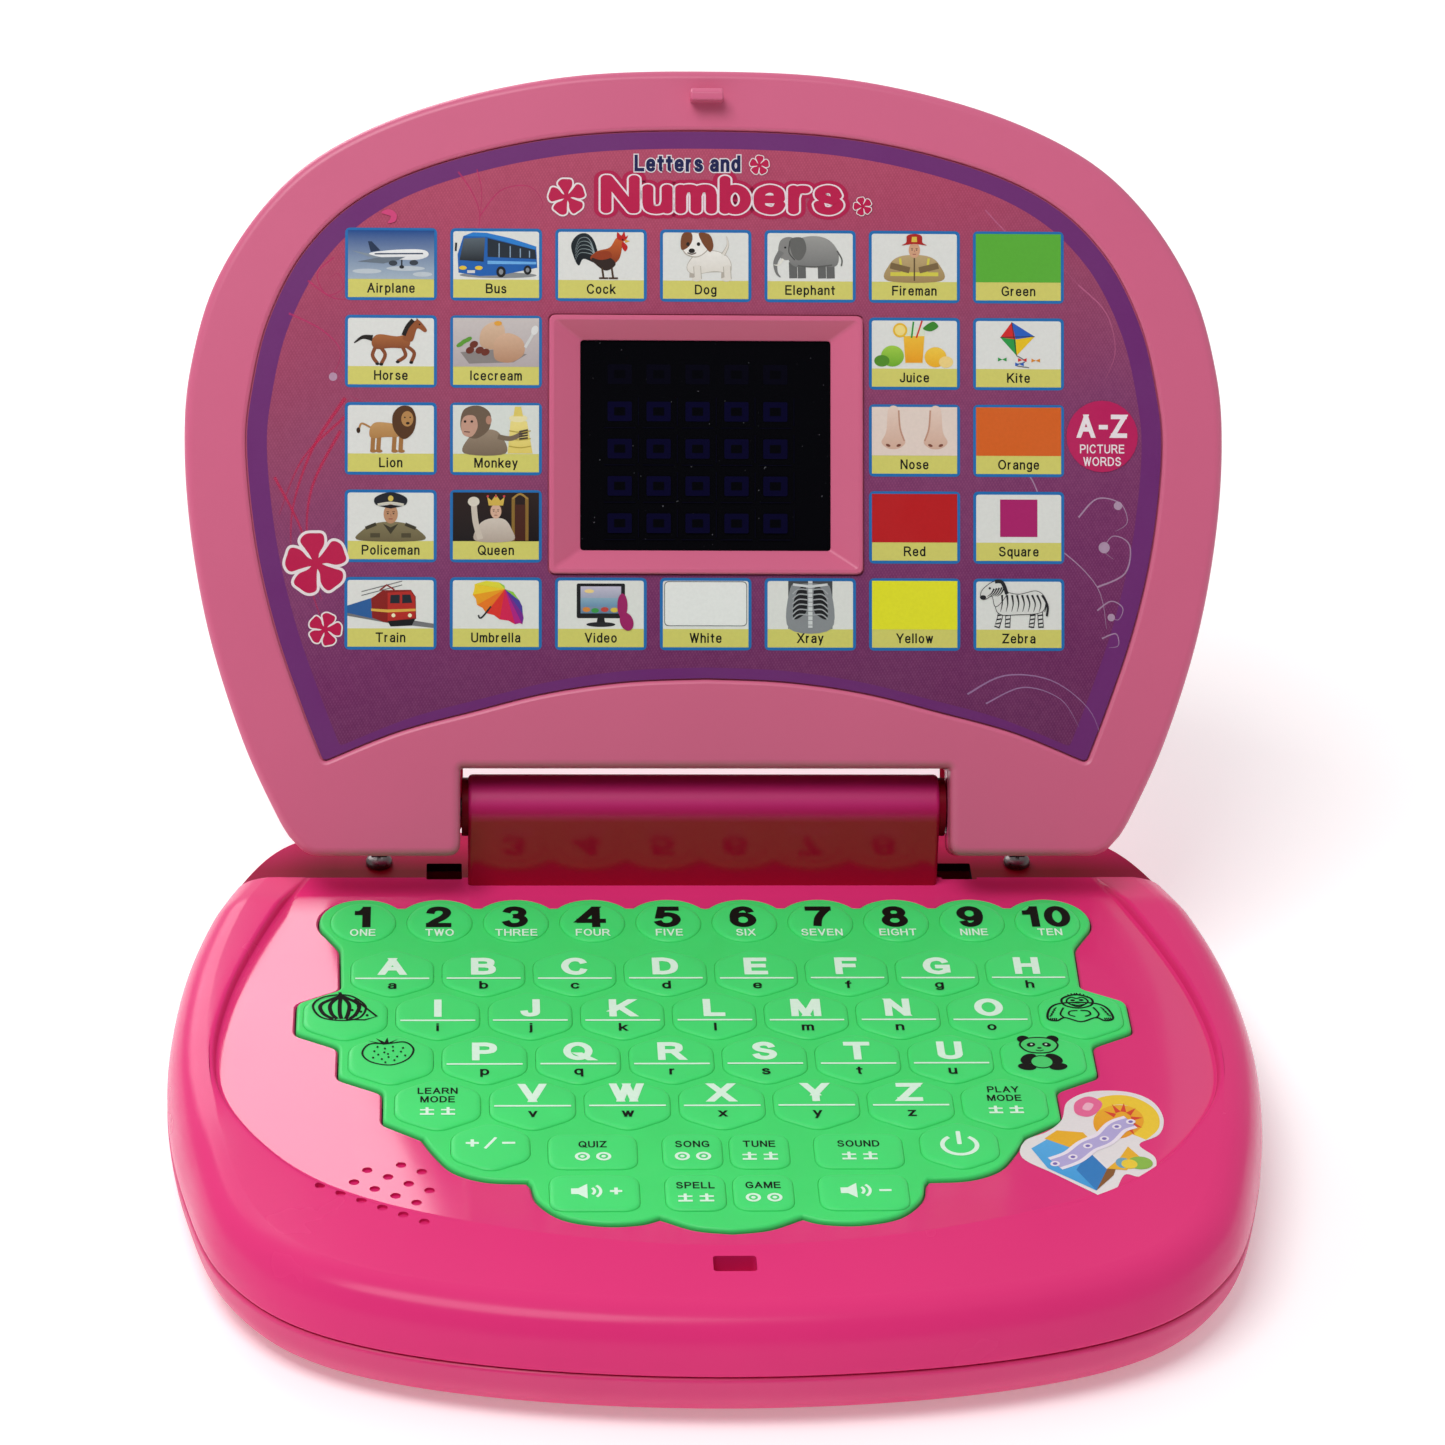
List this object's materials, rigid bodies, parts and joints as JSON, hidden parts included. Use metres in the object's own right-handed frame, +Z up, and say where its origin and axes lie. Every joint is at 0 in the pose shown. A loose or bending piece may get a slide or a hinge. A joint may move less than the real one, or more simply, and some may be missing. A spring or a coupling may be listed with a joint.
{
  "type": "toy laptop computer",
  "caption": "Round-cornered toy laptop computer with a rubber keypad of letter and number keys, a picture card lid, a small dark screen and a hinged lid.",
  "frame": {"origin": "centre of the resting box on the surface that the feet stand on, with the lid open at rest", "axes": "+Z up, -Y towards the user and the keypad's front edge, +X to the user's right along the hinge"},
  "size_m": [0.225, 0.2528, 0.1829],
  "materials": {
    "hot_pink": "gloss",
    "hot_pink_satin": "satin",
    "light_pink": "satin gloss",
    "green_silicone": "satin",
    "printed_sheet": "satin print",
    "dark_glass": "gloss",
    "display_grey": "matte",
    "board": "matte",
    "steel": "bright",
    "speaker_black": "matte",
    "cell": "gloss"
  },
  "bodies": {
    "base": {"base_bottom_shell": "hot_pink_satin", "base_top_shell": "hot_pink", "keypad_sheet": "green_silicone", "circuit_board": "board", "speaker": "speaker_black", "battery_1": "cell", "battery_2": "cell", "battery_3": "cell", "contact_front": "steel", "contact_rear": "steel", "hinge_pin_left": "steel", "hinge_pin_right": "steel", "screw_left": "steel", "screw_right": "steel"},
    "lid": {"lid_front_bezel": "light_pink", "lid_back_shell": "hot_pink", "picture_sheet": "printed_sheet", "screen_window": "dark_glass", "display_panel": "display_grey"},
    "battery_door": {"battery_door": "hot_pink_satin"},
    "key_1": {"key_1": "green_silicone"},
    "key_2": {"key_2": "green_silicone"},
    "key_3": {"key_3": "green_silicone"},
    "key_4": {"key_4": "green_silicone"},
    "key_5": {"key_5": "green_silicone"},
    "key_6": {"key_6": "green_silicone"},
    "key_7": {"key_7": "green_silicone"},
    "key_8": {"key_8": "green_silicone"},
    "key_9": {"key_9": "green_silicone"},
    "key_10": {"key_10": "green_silicone"},
    "keys_a_b": {"keys_a_b": "green_silicone"},
    "keys_c_d": {"keys_c_d": "green_silicone"},
    "keys_e_f": {"keys_e_f": "green_silicone"},
    "keys_g_h": {"keys_g_h": "green_silicone"},
    "keys_i_j": {"keys_i_j": "green_silicone"},
    "keys_k_l": {"keys_k_l": "green_silicone"},
    "keys_m_n": {"keys_m_n": "green_silicone"},
    "key_o": {"key_o": "green_silicone"},
    "keys_p_q": {"keys_p_q": "green_silicone"},
    "keys_r_s": {"keys_r_s": "green_silicone"},
    "keys_t_u": {"keys_t_u": "green_silicone"},
    "keys_v_w": {"keys_v_w": "green_silicone"},
    "keys_x_y": {"keys_x_y": "green_silicone"},
    "key_z": {"key_z": "green_silicone"},
    "key_melon": {"key_melon": "green_silicone"},
    "key_ape": {"key_ape": "green_silicone"},
    "key_berry": {"key_berry": "green_silicone"},
    "key_panda": {"key_panda": "green_silicone"},
    "key_mode_left": {"key_mode_left": "green_silicone"},
    "key_mode_right": {"key_mode_right": "green_silicone"},
    "key_sign": {"key_sign": "green_silicone"},
    "key_power": {"key_power": "green_silicone"},
    "key_quiz": {"key_quiz": "green_silicone"},
    "key_sound": {"key_sound": "green_silicone"},
    "key_song": {"key_song": "green_silicone"},
    "key_tune": {"key_tune": "green_silicone"},
    "key_volume_up": {"key_volume_up": "green_silicone"},
    "key_volume_down": {"key_volume_down": "green_silicone"},
    "key_spell": {"key_spell": "green_silicone"},
    "key_game": {"key_game": "green_silicone"}
  },
  "joints": [
    {"name": "lid_hinge", "type": "hinge", "parent": "base", "child": "lid", "pos_m": [0, 0.04509, 0.0405], "axis": [1, 0, 0], "range_deg": [-8, 119.7]},
    {"name": "battery_door_slide", "type": "slide", "parent": "base", "child": "battery_door", "axis": [0, 1, 0], "range_m": [0, 0.08]},
    {"name": "press_1", "type": "slide", "parent": "base", "child": "key_1", "axis": [0, 0, -1], "range_m": [0, 0.001], "stiffness_N_per_m": 600},
    {"name": "press_2", "type": "slide", "parent": "base", "child": "key_2", "axis": [0, 0, -1], "range_m": [0, 0.001], "stiffness_N_per_m": 600},
    {"name": "press_3", "type": "slide", "parent": "base", "child": "key_3", "axis": [0, 0, -1], "range_m": [0, 0.001], "stiffness_N_per_m": 600},
    {"name": "press_4", "type": "slide", "parent": "base", "child": "key_4", "axis": [0, 0, -1], "range_m": [0, 0.001], "stiffness_N_per_m": 600},
    {"name": "press_5", "type": "slide", "parent": "base", "child": "key_5", "axis": [0, 0, -1], "range_m": [0, 0.001], "stiffness_N_per_m": 600},
    {"name": "press_6", "type": "slide", "parent": "base", "child": "key_6", "axis": [0, 0, -1], "range_m": [0, 0.001], "stiffness_N_per_m": 600},
    {"name": "press_7", "type": "slide", "parent": "base", "child": "key_7", "axis": [0, 0, -1], "range_m": [0, 0.001], "stiffness_N_per_m": 600},
    {"name": "press_8", "type": "slide", "parent": "base", "child": "key_8", "axis": [0, 0, -1], "range_m": [0, 0.001], "stiffness_N_per_m": 600},
    {"name": "press_9", "type": "slide", "parent": "base", "child": "key_9", "axis": [0, 0, -1], "range_m": [0, 0.001], "stiffness_N_per_m": 600},
    {"name": "press_10", "type": "slide", "parent": "base", "child": "key_10", "axis": [0, 0, -1], "range_m": [0, 0.001], "stiffness_N_per_m": 600},
    {"name": "press_a_b", "type": "slide", "parent": "base", "child": "keys_a_b", "axis": [0, 0, -1], "range_m": [0, 0.001], "stiffness_N_per_m": 900},
    {"name": "press_c_d", "type": "slide", "parent": "base", "child": "keys_c_d", "axis": [0, 0, -1], "range_m": [0, 0.001], "stiffness_N_per_m": 900},
    {"name": "press_e_f", "type": "slide", "parent": "base", "child": "keys_e_f", "axis": [0, 0, -1], "range_m": [0, 0.001], "stiffness_N_per_m": 900},
    {"name": "press_g_h", "type": "slide", "parent": "base", "child": "keys_g_h", "axis": [0, 0, -1], "range_m": [0, 0.001], "stiffness_N_per_m": 900},
    {"name": "press_i_j", "type": "slide", "parent": "base", "child": "keys_i_j", "axis": [0, 0, -1], "range_m": [0, 0.001], "stiffness_N_per_m": 900},
    {"name": "press_k_l", "type": "slide", "parent": "base", "child": "keys_k_l", "axis": [0, 0, -1], "range_m": [0, 0.001], "stiffness_N_per_m": 900},
    {"name": "press_m_n", "type": "slide", "parent": "base", "child": "keys_m_n", "axis": [0, 0, -1], "range_m": [0, 0.001], "stiffness_N_per_m": 900},
    {"name": "press_o", "type": "slide", "parent": "base", "child": "key_o", "axis": [0, 0, -1], "range_m": [0, 0.001], "stiffness_N_per_m": 600},
    {"name": "press_p_q", "type": "slide", "parent": "base", "child": "keys_p_q", "axis": [0, 0, -1], "range_m": [0, 0.001], "stiffness_N_per_m": 900},
    {"name": "press_r_s", "type": "slide", "parent": "base", "child": "keys_r_s", "axis": [0, 0, -1], "range_m": [0, 0.001], "stiffness_N_per_m": 900},
    {"name": "press_t_u", "type": "slide", "parent": "base", "child": "keys_t_u", "axis": [0, 0, -1], "range_m": [0, 0.001], "stiffness_N_per_m": 900},
    {"name": "press_v_w", "type": "slide", "parent": "base", "child": "keys_v_w", "axis": [0, 0, -1], "range_m": [0, 0.001], "stiffness_N_per_m": 900},
    {"name": "press_x_y", "type": "slide", "parent": "base", "child": "keys_x_y", "axis": [0, 0, -1], "range_m": [0, 0.001], "stiffness_N_per_m": 900},
    {"name": "press_z", "type": "slide", "parent": "base", "child": "key_z", "axis": [0, 0, -1], "range_m": [0, 0.001], "stiffness_N_per_m": 600},
    {"name": "press_melon", "type": "slide", "parent": "base", "child": "key_melon", "axis": [0, 0, -1], "range_m": [0, 0.001], "stiffness_N_per_m": 600},
    {"name": "press_ape", "type": "slide", "parent": "base", "child": "key_ape", "axis": [0, 0, -1], "range_m": [0, 0.001], "stiffness_N_per_m": 600},
    {"name": "press_berry", "type": "slide", "parent": "base", "child": "key_berry", "axis": [0, 0, -1], "range_m": [0, 0.001], "stiffness_N_per_m": 600},
    {"name": "press_panda", "type": "slide", "parent": "base", "child": "key_panda", "axis": [0, 0, -1], "range_m": [0, 0.001], "stiffness_N_per_m": 600},
    {"name": "press_mode_left", "type": "slide", "parent": "base", "child": "key_mode_left", "axis": [0, 0, -1], "range_m": [0, 0.001], "stiffness_N_per_m": 600},
    {"name": "press_mode_right", "type": "slide", "parent": "base", "child": "key_mode_right", "axis": [0, 0, -1], "range_m": [0, 0.001], "stiffness_N_per_m": 600},
    {"name": "press_sign", "type": "slide", "parent": "base", "child": "key_sign", "axis": [0, 0, -1], "range_m": [0, 0.001], "stiffness_N_per_m": 600},
    {"name": "press_power", "type": "slide", "parent": "base", "child": "key_power", "axis": [0, 0, -1], "range_m": [0, 0.001], "stiffness_N_per_m": 600},
    {"name": "press_quiz", "type": "slide", "parent": "base", "child": "key_quiz", "axis": [0, 0, -1], "range_m": [0, 0.001], "stiffness_N_per_m": 600},
    {"name": "press_sound", "type": "slide", "parent": "base", "child": "key_sound", "axis": [0, 0, -1], "range_m": [0, 0.001], "stiffness_N_per_m": 600},
    {"name": "press_song", "type": "slide", "parent": "base", "child": "key_song", "axis": [0, 0, -1], "range_m": [0, 0.001], "stiffness_N_per_m": 600},
    {"name": "press_tune", "type": "slide", "parent": "base", "child": "key_tune", "axis": [0, 0, -1], "range_m": [0, 0.001], "stiffness_N_per_m": 600},
    {"name": "press_volume_up", "type": "slide", "parent": "base", "child": "key_volume_up", "axis": [0, 0, -1], "range_m": [0, 0.001], "stiffness_N_per_m": 600},
    {"name": "press_volume_down", "type": "slide", "parent": "base", "child": "key_volume_down", "axis": [0, 0, -1], "range_m": [0, 0.001], "stiffness_N_per_m": 600},
    {"name": "press_spell", "type": "slide", "parent": "base", "child": "key_spell", "axis": [0, 0, -1], "range_m": [0, 0.001], "stiffness_N_per_m": 600},
    {"name": "press_game", "type": "slide", "parent": "base", "child": "key_game", "axis": [0, 0, -1], "range_m": [0, 0.001], "stiffness_N_per_m": 600}
  ]
}
